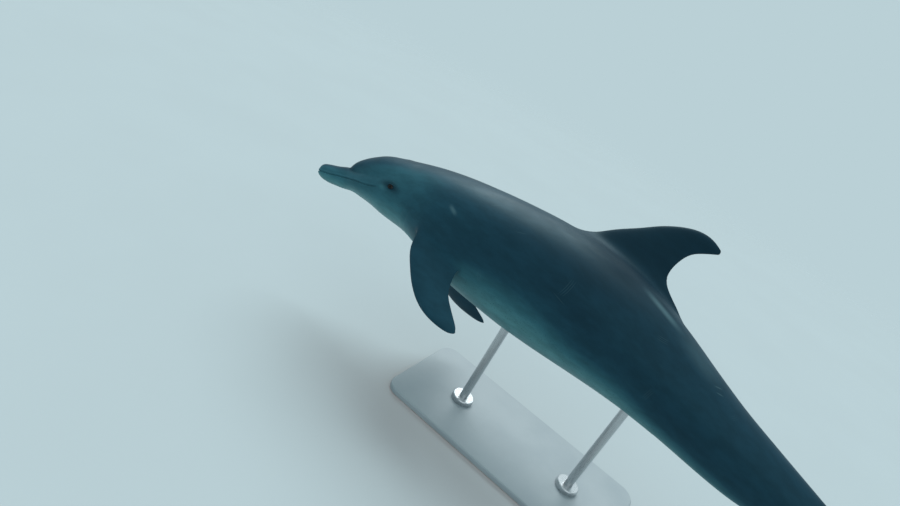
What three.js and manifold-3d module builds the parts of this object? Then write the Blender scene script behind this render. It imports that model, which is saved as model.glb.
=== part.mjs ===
// A bottlenose dolphin at life size, swimming in a gentle banked turn, held above a
// flat base by two upright rods.
//
// Everything is in millimetres. +X runs toward the beak, +Y to the dolphin's left and
// +Z up. The origin is the middle of the underside of the base.
//
// The body is one loft along a bent spine. "Station" means the distance along that
// spine from the tip of the beak. Heights are measured from the spine, toward the back.
// The loft is parted by thin plane cuts, and each fin is trimmed against it.

import * as THREE from 'three';
import { mergeVertices } from 'three/addons/utils/BufferGeometryUtils.js';
import Module from 'manifold-3d';

const wasm = await Module();
wasm.setup();

// ---- Driving dimensions ----------------------------------------------------------

const LENGTH = 2400; // beak tip to the notch between the flukes
const GAP = 0.4; // between neighbouring pieces

const SWIM_HEIGHT = 660; // spine above the floor at the anchor station
const BANK = 28; // degrees, left side up
const NOSE_UP = 1; // degrees
const ANCHOR = 976; // station that the bends are measured from
const BASE_STATION = 1270; // station above the middle of the base

// Bends of the spine: where each begins and ends, how far it turns the tail end
// upward and to the right, in degrees.
const BENDS = [
  { from: 208, to: 736, rise: -13.3, right: -6.4 },
  { from: 688, to: 1456, rise: -8.3, right: -2.4 },
  { from: 1336, to: 2176, rise: 0, right: -0.9 },
];

// Outline of the body, as [station, height] or [station, half width].
const BACK = [
  [0, -54], [5, -38], [18, -28], [35, -23.5], [78, -16], [119, -5], [126, -1], [133, 7],
  [148, 30], [182, 58], [218, 79], [255, 96], [296, 106], [340, 112.5], [400, 124],
  [496, 143], [616, 166], [736, 186], [856, 203], [976, 218], [1096, 228], [1216, 231],
  [1336, 225], [1456, 208], [1576, 179], [1696, 148], [1816, 120], [1936, 99],
  [2056, 79], [2176, 59], [2270, 42], [2330, 20],
];
const BELLY = [
  [0, -70], [7, -77], [28, -88], [68, -94], [115, -94], [158, -90], [209, -99],
  [261, -112], [316, -130], [371, -142], [429, -152], [496, -169], [616, -206],
  [736, -227], [856, -235], [976, -238], [1096, -231], [1216, -215], [1336, -193],
  [1456, -171], [1576, -154], [1696, -144], [1816, -138], [1936, -128], [2056, -102],
  [2176, -71], [2270, -46], [2330, -20],
];
const FLANK = [
  [0, 9], [7, 19], [20, 27], [45, 33], [78, 36.5], [119, 42], [158, 57], [209, 80],
  [261, 99], [316, 116], [371, 130], [429, 143], [496, 158], [616, 179], [736, 192],
  [856, 199], [976, 205], [1096, 203], [1216, 196], [1336, 182], [1456, 161],
  [1576, 136], [1696, 112], [1816, 90], [1936, 71], [2056, 53], [2176, 39], [2270, 32],
  [2330, 18],
];
const WIDEST = [
  [0, -62], [119, -60], [209, -55], [316, -44], [429, -32], [616, -24], [856, -16],
  [1216, 0], [1456, 4], [1816, -6], [2056, -8], [2330, 0],
];
// The jaws' own top line, below the melon: it joins the back behind the eyes.
const JAW_TOP = [
  [0, -54], [5, -38], [18, -28], [35, -23.5], [78, -16], [119, -5], [158, 0], [209, 18],
  [261, 42], [316, 72], [371, 98], [440, 132],
];
// Roundness of the sections: 2 is an ellipse, less gives a keel above and below.
const FULLNESS = [[0, 2.3], [119, 2.2], [300, 2.05], [1300, 2], [1800, 1.75], [2330, 1.8]];

// The melon is the rounded forehead, an oval section that starts behind a crease.
const MELON_START = 122;
const MELON_END = 440;
const MELON_FLANK = [
  [122, 3], [127, 19], [134, 32], [148, 46], [165, 56], [182, 65], [218, 81], [255, 94],
  [296, 106], [340, 118], [400, 134], [440, 144],
];
const MELON_MIDDLE = [[122, -12], [134, -6], [148, -2], [182, 5], [255, 8], [340, 0], [440, -20]];
const CREASE_SOFTNESS = 7;

const MOUTH_LINE = [[-10, -71], [56, -65.5], [101, -60], [169, -57], [235, -59], [287, -54]];
const GAPE = 287; // station of the corner of the mouth

// Pieces of the body: where each begins, how many rings it has, and how strongly its
// rings crowd toward its front end.
const LENGTHS = [
  { name: 'beak', to: 120, rings: 8, crowding: 1.7 },
  { name: 'head', to: 440, rings: 15, crowding: 1.6 },
  { name: 'neck', to: 600, rings: 4, crowding: 1 },
  { name: 'trunk_front', to: 1010, rings: 8, crowding: 1 },
  { name: 'trunk_rear', to: 1500, rings: 9, crowding: 1 },
  { name: 'tail_stock_front', to: 1900, rings: 8, crowding: 1 },
  { name: 'tail_stock_rear', to: 2330, rings: 10, crowding: 1 },
];
const RING_SIDES = 28;

const EYE = { station: 352, height: -36, radius: 17, proud: 3.5 };

// Fins: leading and trailing edges from root to tip. The dorsal fin's points are
// [station, height], the flukes' are [station, distance from the midline], and the
// flippers' are [distance tailward, distance outward] in the plane of the blade.
const DORSAL_FIN = {
  leading: [[1000, 200], [1054, 243], [1108, 308], [1166, 367], [1209, 418], [1258, 460],
    [1294, 482], [1327, 493], [1367, 493], [1404, 481]],
  trailing: [[1500, 188], [1446, 221], [1383, 250], [1342, 279], [1331, 317], [1332, 358],
    [1344, 404], [1381, 441], [1409, 463]],
  thickness: [[0, 52], [0.25, 38], [0.6, 24], [1, 9]],
};
const FLUKE = {
  leading: [[2195, 0], [2222, 40], [2262, 100], [2312, 175], [2362, 240], [2404, 281], [2428, 296]],
  trailing: [[2394, 0], [2408, 24], [2410, 80], [2404, 150], [2408, 220], [2424, 272], [2434, 294]],
  thickness: [[0, 34], [0.3, 25], [0.7, 13], [1, 5]],
};
const FLIPPER = {
  leading: [[-88, -50], [-68, 53], [-47, 86], [-16, 116], [32, 163], [86, 205], [134, 229],
    [190, 241], [243, 242], [276, 238], [291, 229]],
  trailing: [[128, -50], [143, 40], [158, 90], [168, 113], [186, 136], [236, 174], [270, 197],
    [286, 209], [292, 218]],
  thickness: [[0, 44], [0.3, 30], [0.7, 16], [1, 6]],
  root: { station: 640, height: -140, out: 132 },
};
// Splay and sweep are degrees from straight down, and pitch lifts the trailing edge.
const LEFT_FLIPPER = { side: 1, splay: 18, sweep: 0, pitch: 0 };
const RIGHT_FLIPPER = { side: -1, splay: 56, sweep: 14, pitch: 10 };

const BASE = { length: 1000, width: 500, thickness: 24, corner: 60, bevel: 4 };
const ROD = { radius: 17, sides: 36, offset: 15, stations: { front: 1010, rear: 1530 } };
const COLLAR = { radius: 46, height: 20, bevel: 3, sides: 30 };

// ---- Materials -------------------------------------------------------------------

const skinDark = () => new THREE.MeshStandardMaterial({ color: 0x4a5862, roughness: 0.42 });
const skinPale = () => new THREE.MeshStandardMaterial({ color: 0x8b979b, roughness: 0.45 });
const eyeDark = () => new THREE.MeshStandardMaterial({ color: 0x14100d, roughness: 0.08 });
const standPaint = () =>
  new THREE.MeshStandardMaterial({ color: 0xc4cacc, roughness: 0.5 });
const standSteel = () =>
  new THREE.MeshStandardMaterial({ color: 0xb9bcbe, roughness: 0.3, metalness: 1 });

// ---- Curves ----------------------------------------------------------------------

const radians = THREE.MathUtils.degToRad;

// A smooth curve through [x, y] rows that never overshoots them.
function throughRows(rows) {
  const xs = rows.map((row) => row[0]);
  const ys = rows.map((row) => row[1]);
  const steps = xs.slice(1).map((x, i) => x - xs[i]);
  const slopes = steps.map((step, i) => (ys[i + 1] - ys[i]) / step);
  const tangents = ys.map((_, i) => {
    const before = slopes[Math.max(i - 1, 0)];
    const after = slopes[Math.min(i, slopes.length - 1)];
    return before * after <= 0 ? 0 : (2 * before * after) / (before + after);
  });
  return (x) => {
    const clamped = THREE.MathUtils.clamp(x, xs[0], xs.at(-1));
    let i = 0;
    while (i < steps.length - 1 && clamped > xs[i + 1]) i += 1;
    const t = (clamped - xs[i]) / steps[i];
    const rise = t * t * (3 - 2 * t);
    const leave = t * (1 - t) * (1 - t) * steps[i] * tangents[i];
    const arrive = t * t * (t - 1) * steps[i] * tangents[i + 1];
    return ys[i] + (ys[i + 1] - ys[i]) * rise + leave + arrive;
  };
}

const back = throughRows(BACK);
const belly = throughRows(BELLY);
const flank = throughRows(FLANK);
const widest = throughRows(WIDEST);
const jawTop = throughRows(JAW_TOP);
const fullness = throughRows(FULLNESS);
const melonFlank = throughRows(MELON_FLANK);
const melonMiddle = throughRows(MELON_MIDDLE);
const mouthLine = throughRows(MOUTH_LINE);

// A plane curve through a few outline points, as t => [u, v].
function outline(points) {
  const curve = new THREE.CatmullRomCurve3(
    points.map(([u, v]) => new THREE.Vector3(u, v, 0)), false, 'centripetal');
  return (t) => {
    const point = curve.getPointAt(t);
    return [point.x, point.y];
  };
}

// ---- The spine -------------------------------------------------------------------

const SPINE_STEP = 4;
const SPINE_START = -80;
const SPINE_END = LENGTH + 80;

// How much of a bend is behind us: 0 before it, 1 after it, smooth between.
function bendShare(bend, station) {
  const u = THREE.MathUtils.clamp((station - bend.from) / (bend.to - bend.from), 0, 1);
  return u - Math.sin(2 * Math.PI * u) / (2 * Math.PI);
}

function spineAxes(station) {
  let rise = 0;
  let right = 0;
  for (const bend of BENDS) {
    const share = bendShare(bend, station) - bendShare(bend, ANCHOR);
    rise += radians(bend.rise) * share;
    right += radians(bend.right) * share;
  }
  const tailward = new THREE.Vector3(
    -Math.cos(rise) * Math.cos(right), -Math.cos(rise) * Math.sin(right), Math.sin(rise));
  const left = new THREE.Vector3(-Math.sin(right), Math.cos(right), 0);
  const dorsal = new THREE.Vector3().crossVectors(left, tailward);
  return { tailward, left, dorsal };
}

// Centre line of the spine, summed in short steps and shifted so that the anchor
// station is at the origin of the body.
const spinePoints = [new THREE.Vector3()];
for (let station = SPINE_START; station < SPINE_END; station += SPINE_STEP) {
  const { tailward } = spineAxes(station + SPINE_STEP / 2);
  spinePoints.push(spinePoints.at(-1).clone().addScaledVector(tailward, SPINE_STEP));
}

function spinePoint(station) {
  const along = (station - SPINE_START) / SPINE_STEP;
  const i = THREE.MathUtils.clamp(Math.floor(along), 0, spinePoints.length - 2);
  return spinePoints[i].clone().lerp(spinePoints[i + 1], along - i);
}

const anchorPoint = spinePoint(ANCHOR);

// A place on or in the body, from its station, distance to the left and height.
function bodyPoint(station, toLeft, height) {
  const { left, dorsal } = spineAxes(station);
  return spinePoint(station).sub(anchorPoint)
    .addScaledVector(left, toLeft)
    .addScaledVector(dorsal, height);
}

// ---- Sections of the body --------------------------------------------------------

// Signed distance of a point from a rounded section, measured from its middle.
function fromSection({ halfWidth, top, middle, bottom, power }, across, height) {
  const up = height - middle;
  const reach = up > 0 ? top - middle : middle - bottom;
  const level = (Math.abs(across / halfWidth) ** power + Math.abs(up / reach) ** power)
    ** (1 / power);
  return Math.hypot(across, up) * (1 - 1 / Math.max(level, 1e-6));
}

function softUnion(a, b) {
  const blend = Math.max(CREASE_SOFTNESS - Math.abs(a - b), 0) / CREASE_SOFTNESS;
  return Math.min(a, b) - (blend * blend * CREASE_SOFTNESS) / 4;
}

function fromBody(station, across, height) {
  const behindMelon = station >= MELON_END;
  const trunk = {
    halfWidth: flank(station),
    top: behindMelon ? back(station) : jawTop(station),
    middle: widest(station),
    bottom: belly(station),
    power: fullness(station),
  };
  const distance = fromSection(trunk, across, height);
  if (behindMelon || station <= MELON_START) return distance;
  const melon = {
    halfWidth: melonFlank(station),
    top: back(station),
    middle: melonMiddle(station),
    bottom: melonMiddle(station) - 0.8 * melonFlank(station),
    power: 2,
  };
  return softUnion(distance, fromSection(melon, across, height));
}

// Distance from the section's middle to the skin, at an angle from the back.
function skinRadius(station, angle, grow) {
  let inside = 1;
  let outside = 400;
  for (let i = 0; i < 40; i += 1) {
    const radius = (inside + outside) / 2;
    const height = widest(station) + radius * Math.cos(angle);
    const skin = fromBody(station, radius * Math.sin(angle), height);
    if (skin > grow) outside = radius;
    else inside = radius;
  }
  return (inside + outside) / 2;
}

function ring(station, grow) {
  return Array.from({ length: RING_SIDES }, (_, i) => {
    const angle = (2 * Math.PI * i) / RING_SIDES;
    const radius = skinRadius(station, angle, grow);
    return bodyPoint(station, radius * Math.sin(angle),
      widest(station) + radius * Math.cos(angle));
  });
}

// ---- Closed meshes ---------------------------------------------------------------

// Joins rings of equal count into a closed tube, with a fan over each end.
function closedTube(rings) {
  const count = rings[0].length;
  const points = rings.flat();
  const faces = [];
  for (let r = 0; r < rings.length - 1; r += 1) {
    for (let i = 0; i < count; i += 1) {
      const a = r * count + i;
      const b = r * count + ((i + 1) % count);
      faces.push(a, a + count, b, b, a + count, b + count);
    }
  }
  for (const [r, outward] of [[0, 1], [rings.length - 1, -1]]) {
    const middle = new THREE.Vector3();
    rings[r].forEach((point) => middle.addScaledVector(point, 1 / count));
    const hub = points.push(middle) - 1;
    for (let i = 0; i < count; i += 1) {
      const a = r * count + i;
      const b = r * count + ((i + 1) % count);
      if (outward > 0) faces.push(hub, a, b);
      else faces.push(hub, b, a);
    }
  }
  return facingOut(points, faces);
}

function facingOut(points, faces) {
  let volume = 0;
  for (let f = 0; f < faces.length; f += 3) {
    const [a, b, c] = [points[faces[f]], points[faces[f + 1]], points[faces[f + 2]]];
    volume += a.dot(new THREE.Vector3().crossVectors(b, c));
  }
  const geometry = new THREE.BufferGeometry().setFromPoints(points);
  geometry.setIndex(volume < 0 ? [...faces].reverse() : faces);
  return geometry;
}

function toSolid(geometry) {
  const bare = geometry.clone();
  bare.deleteAttribute('normal');
  bare.deleteAttribute('uv');
  const merged = mergeVertices(bare, 1e-4);
  const mesh = new wasm.Mesh({
    numProp: 3,
    vertProperties: new Float32Array(merged.attributes.position.array),
    triVerts: new Uint32Array(merged.index.array),
  });
  return new wasm.Manifold(mesh);
}

function toGeometry(solid) {
  const mesh = solid.getMesh();
  const geometry = new THREE.BufferGeometry();
  geometry.setAttribute('position', new THREE.BufferAttribute(mesh.vertProperties, 3));
  geometry.setIndex(new THREE.BufferAttribute(mesh.triVerts, 1));
  return geometry;
}

function named(name, geometry, material) {
  const mesh = new THREE.Mesh(geometry, material);
  mesh.name = name;
  geometry.computeVertexNormals();
  return mesh;
}

// ---- Body ------------------------------------------------------------------------

// Ring stations of each length of the body, front to back.
let start = 0;
const bodyStations = {};
for (const { name, to, rings, crowding } of LENGTHS) {
  const end = to === LENGTHS.at(-1).to ? to : to - GAP / 2;
  const from = start;
  bodyStations[name] = Array.from({ length: rings + 1 }, (_, i) =>
    from + (end - from) * (i / rings) ** crowding);
  start = to + GAP / 2;
}

const bodyLoft = (name) => closedTube(bodyStations[name].map((station) => ring(station, 0)));
const allStations = Object.values(bodyStations).flat();
const bodyWithGap = closedTube(allStations.map((station) => ring(station, GAP)));

// Everything below the mouth line, as far back as the corner of the mouth.
function belowMouth(clearance) {
  const width = 220;
  const floor = -260;
  const end = GAPE + clearance;
  const sections = 12;
  const rings = Array.from({ length: sections + 1 }, (_, i) => {
    const station = -10 + ((end + 10) * i) / sections;
    const roof = mouthLine(station) + clearance;
    return [[-width, roof], [width, roof], [width, floor], [-width, floor]]
      .map(([toLeft, height]) => bodyPoint(station, toLeft, height));
  });
  return toSolid(closedTube(rings));
}

function eyeball(side, scale) {
  const angle = Math.acos((EYE.height - widest(EYE.station)) / 120);
  const out = skinRadius(EYE.station, angle, 0) * Math.sin(angle) - EYE.radius + EYE.proud;
  const place = bodyPoint(EYE.station, side * out, EYE.height);
  return new THREE.SphereGeometry(EYE.radius * scale, 14, 8)
    .rotateX(Math.PI / 2)
    .translate(place.x, place.y, place.z);
}

function beakAndHead() {
  const jawSpace = belowMouth(GAP);
  const beakLoft = toSolid(bodyLoft('beak'));
  const headLoft = toSolid(bodyLoft('head'));
  const eyeScale = 1 + GAP / EYE.radius;
  const socketed = headLoft
    .subtract(toSolid(eyeball(1, eyeScale)))
    .subtract(toSolid(eyeball(-1, eyeScale)));
  const jawStations = [...bodyStations.beak, ...bodyStations.head];
  const jawLoft = toSolid(closedTube(jawStations.map((station) => ring(station, 0))));
  return [
    named('beak_upper', toGeometry(beakLoft.subtract(jawSpace)), skinDark()),
    named('jaw_lower', toGeometry(jawLoft.intersect(belowMouth(0))), skinPale()),
    named('head', toGeometry(socketed.subtract(jawSpace)), skinDark()),
    named('eye_left', eyeball(1, 1), eyeDark()),
    named('eye_right', eyeball(-1, 1), eyeDark()),
  ];
}

function trunkAndTail() {
  return LENGTHS.slice(2).map(({ name }) => named(name, bodyLoft(name), skinDark()));
}

// ---- Fins ------------------------------------------------------------------------

const BLADE_SPANS = 14;
const BLADE_CHORDS = 8;
const THINNEST_EDGE = 0.7; // half thickness along the edges

// Half thickness of a blade's section, as a share of its greatest, along the chord.
function aerofoil(chord) {
  const shape = 2.969 * Math.sqrt(chord) - 1.26 * chord - 3.516 * chord ** 2
    + 2.843 * chord ** 3 - 1.015 * chord ** 4;
  return Math.max(shape, 0);
}

// A fin with rounded leading and thin trailing edge. place turns plan coordinates and
// the distance off the plan into a point of the body.
function blade({ leading, trailing, thickness }, place) {
  const front = outline(leading);
  const rear = outline(trailing);
  const thick = throughRows(thickness);
  const rings = Array.from({ length: BLADE_SPANS + 1 }, (_, j) => {
    const span = j / BLADE_SPANS;
    const [u0, v0] = front(span);
    const [u1, v1] = rear(span);
    const at = (chord, side) => {
      const off = side * Math.max((thick(span) / 2) * aerofoil(chord), THINNEST_EDGE);
      return place(u0 + (u1 - u0) * chord, v0 + (v1 - v0) * chord, off);
    };
    const chords = Array.from({ length: BLADE_CHORDS + 1 }, (_, i) =>
      (1 - Math.cos((Math.PI * i) / BLADE_CHORDS)) / 2);
    return [...chords.map((c) => at(c, 1)), ...chords.reverse().map((c) => at(c, -1))];
  });
  return toSolid(closedTube(rings));
}

const trimmed = (solid) => toGeometry(solid.subtract(toSolid(bodyWithGap)));

function dorsalFin() {
  const solid = blade(DORSAL_FIN, (station, height, off) => bodyPoint(station, off, height));
  return named('dorsal_fin', trimmed(solid), skinDark());
}

function fluke(side, name) {
  const solid = blade(FLUKE, (station, out, off) =>
    bodyPoint(station, side * (out + GAP / 2), off));
  return named(name, trimmed(solid), skinDark());
}

// The blade hangs from its root, swept forward in its own plane, pitched about its
// length and splayed outward.
function flipper({ side, splay, sweep, pitch }, name) {
  const { station, height, out } = FLIPPER.root;
  const [cosSplay, sinSplay] = [Math.cos(radians(splay)), Math.sin(radians(splay))];
  const [cosSweep, sinSweep] = [Math.cos(radians(sweep)), Math.sin(radians(sweep))];
  const [cosPitch, sinPitch] = [Math.cos(radians(pitch)), Math.sin(radians(pitch))];
  const solid = blade(FLIPPER, (tailward, along, off) => {
    const rearward = tailward * cosSweep - along * sinSweep;
    const down = tailward * sinSweep + along * cosSweep;
    const lift = rearward * sinPitch + off * cosPitch;
    return bodyPoint(station + rearward * cosPitch - off * sinPitch,
      side * (out + down * sinSplay + lift * cosSplay),
      height - down * cosSplay + lift * sinSplay);
  });
  return named(name, trimmed(solid), skinDark());
}

// ---- Stand -----------------------------------------------------------------------

function roundedPlate() {
  const { length, width, thickness, corner, bevel } = BASE;
  const x = length / 2 - bevel;
  const y = width / 2 - bevel;
  const r = corner - bevel;
  const plan = new THREE.Shape();
  plan.moveTo(-x + r, -y);
  plan.lineTo(x - r, -y);
  plan.absarc(x - r, -y + r, r, -Math.PI / 2, 0);
  plan.lineTo(x, y - r);
  plan.absarc(x - r, y - r, r, 0, Math.PI / 2);
  plan.lineTo(-x + r, y);
  plan.absarc(-x + r, y - r, r, Math.PI / 2, Math.PI);
  plan.lineTo(-x, -y + r);
  plan.absarc(-x + r, -y + r, r, Math.PI, 1.5 * Math.PI);
  return new THREE.ExtrudeGeometry(plan, {
    depth: thickness - 2 * bevel,
    bevelThickness: bevel,
    bevelSize: bevel,
    bevelSegments: 1,
    curveSegments: 6,
  }).translate(0, 0, bevel);
}

// A ring with a bevelled top edge that hides the foot of a rod.
function collarGeometry() {
  const { radius, height, bevel, sides } = COLLAR;
  const bore = ROD.radius + GAP;
  const profile = [
    [bore, 0], [radius, 0], [radius, height - bevel], [radius - bevel, height],
    [bore, height], [bore, 0],
  ].map(([r, z]) => new THREE.Vector2(r, z));
  return new THREE.LatheGeometry(profile, sides).rotateX(Math.PI / 2);
}

// A rod stands on the base and its top end is shaped to the belly.
function rodAndCollar(end, bodyInPlace) {
  const x = BASE_STATION - ROD.stations[end];
  const foot = BASE.thickness + GAP;
  const top = SWIM_HEIGHT - 40;
  const rod = new THREE.CylinderGeometry(ROD.radius, ROD.radius, top - foot, ROD.sides)
    .rotateX(Math.PI / 2)
    .translate(x, ROD.offset, (top + foot) / 2);
  const collar = collarGeometry().translate(x, ROD.offset, foot);
  return [
    named(`stand_rod_${end}`, toGeometry(toSolid(rod).subtract(bodyInPlace)), standSteel()),
    named(`stand_collar_${end}`, collar, standSteel()),
  ];
}

function stand(bodyInPlace) {
  const group = new THREE.Group();
  group.add(named('stand_base', roundedPlate(), standPaint()));
  group.add(...rodAndCollar('front', bodyInPlace), ...rodAndCollar('rear', bodyInPlace));
  return group;
}

// ---- Assembly --------------------------------------------------------------------

const dolphin = new THREE.Group();
dolphin.add(...beakAndHead(), ...trunkAndTail(), dorsalFin());
dolphin.add(flipper(LEFT_FLIPPER, 'flipper_left'), flipper(RIGHT_FLIPPER, 'flipper_right'));
dolphin.add(fluke(1, 'fluke_left'), fluke(-1, 'fluke_right'));
dolphin.rotation.set(radians(BANK), -radians(NOSE_UP), 0, 'YXZ');
dolphin.position.set(BASE_STATION - ANCHOR, 0, SWIM_HEIGHT);
dolphin.updateMatrixWorld(true);

const bodyInPlace = toSolid(bodyWithGap.clone().applyMatrix4(dolphin.matrixWorld));
const model = new THREE.Group();
model.add(dolphin, stand(bodyInPlace));

export default model;
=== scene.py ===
"""A bottlenose dolphin at life size, held over a flat base by two upright rods.

The skin is one mesh. It is modelled straight, in millimetres, as rows of [station,
to the left, height]: station is the distance along the spine from the tip of the
beak, and height is measured from the spine toward the back. A coarse cage of rings
is built first, with the fins, eyelids and blowhole set into openings in it, then it
is subdivided once, creased, and bent along the spine into its place in the frame.
"""

import math

import bmesh
import bpy
import numpy as np
from mathutils import Matrix, Vector


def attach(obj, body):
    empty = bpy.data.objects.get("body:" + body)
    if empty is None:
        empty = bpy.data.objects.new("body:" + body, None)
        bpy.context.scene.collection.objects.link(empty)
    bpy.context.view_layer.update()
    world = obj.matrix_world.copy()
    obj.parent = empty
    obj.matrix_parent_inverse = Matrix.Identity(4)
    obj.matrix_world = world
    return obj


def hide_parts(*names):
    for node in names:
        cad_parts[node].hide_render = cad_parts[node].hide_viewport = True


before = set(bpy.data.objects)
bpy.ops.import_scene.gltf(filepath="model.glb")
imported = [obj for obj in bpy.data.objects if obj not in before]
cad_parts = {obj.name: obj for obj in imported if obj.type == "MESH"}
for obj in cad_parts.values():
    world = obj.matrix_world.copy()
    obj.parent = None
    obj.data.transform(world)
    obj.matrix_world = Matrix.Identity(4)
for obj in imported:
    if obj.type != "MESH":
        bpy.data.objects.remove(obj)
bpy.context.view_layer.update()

MM = 0.001

# ---- Driving dimensions, in millimetres and degrees ----

LENGTH = 2400.0  # beak tip to the notch between the flukes
SWIM_HEIGHT = 660.0  # of the spine at ANCHOR, over the floor
BANK = 28.0  # left side up
NOSE_UP = 1.0
ANCHOR = 976.0  # the station that the bends and turns leave in place
BASE_STATION = 1270.0  # the station over the frame's origin
# First and last station of each bend, and how far it lifts the tail and turns it right.
BENDS = [(208, 736, -13.3, -6.4), (688, 1456, -8.3, -2.4), (1336, 2176, 0, -0.9)]

BACK = [
    (0, -54), (5, -38), (18, -28), (35, -23.5), (78, -16), (119, -5), (126, -1), (133, 7),
    (148, 30), (182, 58), (218, 79), (255, 96), (296, 106), (340, 112.5), (400, 124),
    (496, 143), (616, 166), (736, 186), (856, 203), (976, 218), (1096, 228), (1216, 231),
    (1336, 225), (1456, 208), (1576, 179), (1696, 148), (1816, 120), (1936, 99),
    (2056, 79), (2176, 59), (2270, 42), (2330, 22), (2394, 7),
]
BELLY = [
    (0, -70), (7, -77), (28, -88), (68, -94), (115, -94), (158, -90), (209, -99),
    (261, -112), (316, -130), (371, -142), (429, -152), (496, -169), (616, -206),
    (736, -227), (856, -235), (976, -238), (1096, -231), (1216, -215), (1336, -193),
    (1456, -171), (1576, -154), (1696, -144), (1816, -138), (1936, -128), (2056, -102),
    (2176, -71), (2270, -46), (2330, -22), (2394, -7),
]
FLANK = [
    (0, 9), (7, 19), (20, 27), (45, 33), (78, 36.5), (119, 42), (158, 57), (209, 80),
    (261, 99), (316, 116), (371, 130), (429, 143), (496, 158), (616, 179), (736, 192),
    (856, 199), (976, 205), (1096, 203), (1216, 196), (1336, 182), (1456, 161),
    (1576, 136), (1696, 112), (1816, 90), (1936, 71), (2056, 53), (2176, 39), (2270, 34),
    (2394, 30),
]
WIDEST = [
    (0, -62), (119, -60), (209, -55), (316, -44), (429, -32), (616, -24), (856, -16),
    (1216, 0), (1456, 4), (1816, -6), (2056, -8), (2330, 0),
]
JAW_TOP = [
    *BACK[:6], (158, 0), (209, 18), (261, 42), (316, 72), (371, 98), (440, 132),
]
FULLNESS = [(0, 2.3), (119, 2.2), (300, 2.05), (1300, 2), (1800, 1.75), (2330, 1.8)]
MELON_START, MELON_END = 122, 440
MELON_FLANK = [
    (122, 3), (127, 19), (134, 32), (148, 46), (165, 56), (182, 65), (218, 81), (255, 94),
    (296, 106), (340, 118), (400, 134), (440, 144),
]
MELON_MIDDLE = [(122, -12), (134, -6), (148, -2), (182, 5), (255, 8), (340, 0), (440, -20)]
MELON_DEPTH = 0.8  # below its middle, as a share of its half width
CREASE_SOFTNESS = 7

MOUTH_LINE = [
    (0, -63.5), (12, -66), (56, -65.5), (101, -60), (169, -57), (235, -59), (287, -54),
    (320, -47),
]
GAPE = 287  # station of the corner of the mouth
TIP_ROUNDING = 7

EYE_STATION, EYE_HEIGHT, EYE_RADIUS, EYE_PROUD = 352, -36, 17, 3.5
EYE_TILT = 7  # front corner up
BLOWHOLE_STATION = 342

DORSAL_FIN = {
    "leading": [
        (1000, 200), (1054, 243), (1108, 308), (1166, 367), (1209, 418), (1258, 460),
        (1294, 482), (1327, 493), (1367, 493), (1404, 481),
    ],
    "trailing": [
        (1500, 188), (1446, 221), (1383, 250), (1342, 279), (1331, 317), (1332, 358),
        (1344, 404), (1381, 441), (1409, 463),
    ],
    "thickness": [(0, 52), (0.25, 38), (0.6, 24), (1, 9)],
    "fillet": (30, 62, 40, 36),  # reach beside, before and behind the fin, and up it
}
FLIPPER = {
    "leading": [
        (-88, -50), (-68, 53), (-47, 86), (-16, 116), (32, 163), (86, 205), (134, 229),
        (190, 241), (243, 242), (276, 238), (291, 229),
    ],
    "trailing": [
        (128, -50), (143, 40), (158, 90), (168, 113), (186, 136), (236, 174), (270, 197),
        (286, 209), (292, 218),
    ],
    "thickness": [(0, 44), (0.3, 30), (0.7, 16), (1, 6)],
    "fillet": (20, 28, 24, 26),
}
FLIPPER_ROOT = {"station": 640, "height": -140, "out": 132}
# Side, splay, sweep and pitch of each flipper.
FLIPPER_TURNS = {"left": (1, 18, 0, 0), "right": (-1, 56, 14, 10)}

FLUKE_START = 2150
FLUKE_EDGE = [
    (2150, 41), (2190, 42), (2216, 50), (2240, 72), (2262, 100), (2312, 175), (2362, 240),
    (2404, 281), (2428, 296),
]
FLUKE_TRAILING = [
    (2394, 0), (2408, 24), (2410, 80), (2404, 150), (2408, 220), (2424, 272), (2434, 294),
]
FLUKE_THICKNESS = [(0, 34), (0.3, 25), (0.7, 13), (1, 5)]
FLUKE_SPAN = 296
NOTCH, FLUKE_TIP = FLUKE_TRAILING[0][0], FLUKE_TRAILING[-1][0]
STOCK_END = 2330  # the section of the tail stock has given way to the blades here
THINNEST_EDGE = 0.7  # half thickness along the edges of the fins

# ---- Curves ----

HEAD_BLUR, BODY_BLUR = 3.5, 24.0  # how far the outlines are evened out
BLUR_CHANGE = (380, 640)  # stations between which the first gives way to the second


def smooth_step(low, high, x):
    t = np.clip((x - low) / (high - low), 0, 1)
    return t * t * (3 - 2 * t)


def plateau(x, rise, fall):
    """0, then 1 past the range called rise, then 0 again past the range called fall."""
    return smooth_step(*rise, x) * (1 - smooth_step(*fall, x))


def hump(x, middle, width):
    return np.exp(-(((x - middle) / width) ** 2))


def soft_max(a, b, softness):
    """The larger of two values, with the corner between them rounded off."""
    blend = np.maximum(softness - np.abs(a - b), 0) / softness
    return np.maximum(a, b) + blend**2 * softness / 4


def turned(x, y, degrees):
    c, s = math.cos(math.radians(degrees)), math.sin(math.radians(degrees))
    return x * c - y * s, x * s + y * c


def unit(vectors):
    return vectors / np.maximum(np.linalg.norm(vectors, axis=-1, keepdims=True), 1e-9)


def length_shares(rows):
    """How far along a line each of its rows is, from 0 to 1."""
    steps = np.linalg.norm(np.diff(rows, axis=0), axis=1)
    return np.append(0, np.cumsum(steps)) / steps.sum()


def interp_rows(x, grid, rows):
    return np.stack([np.interp(x, grid, column) for column in rows.T], -1)


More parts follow.
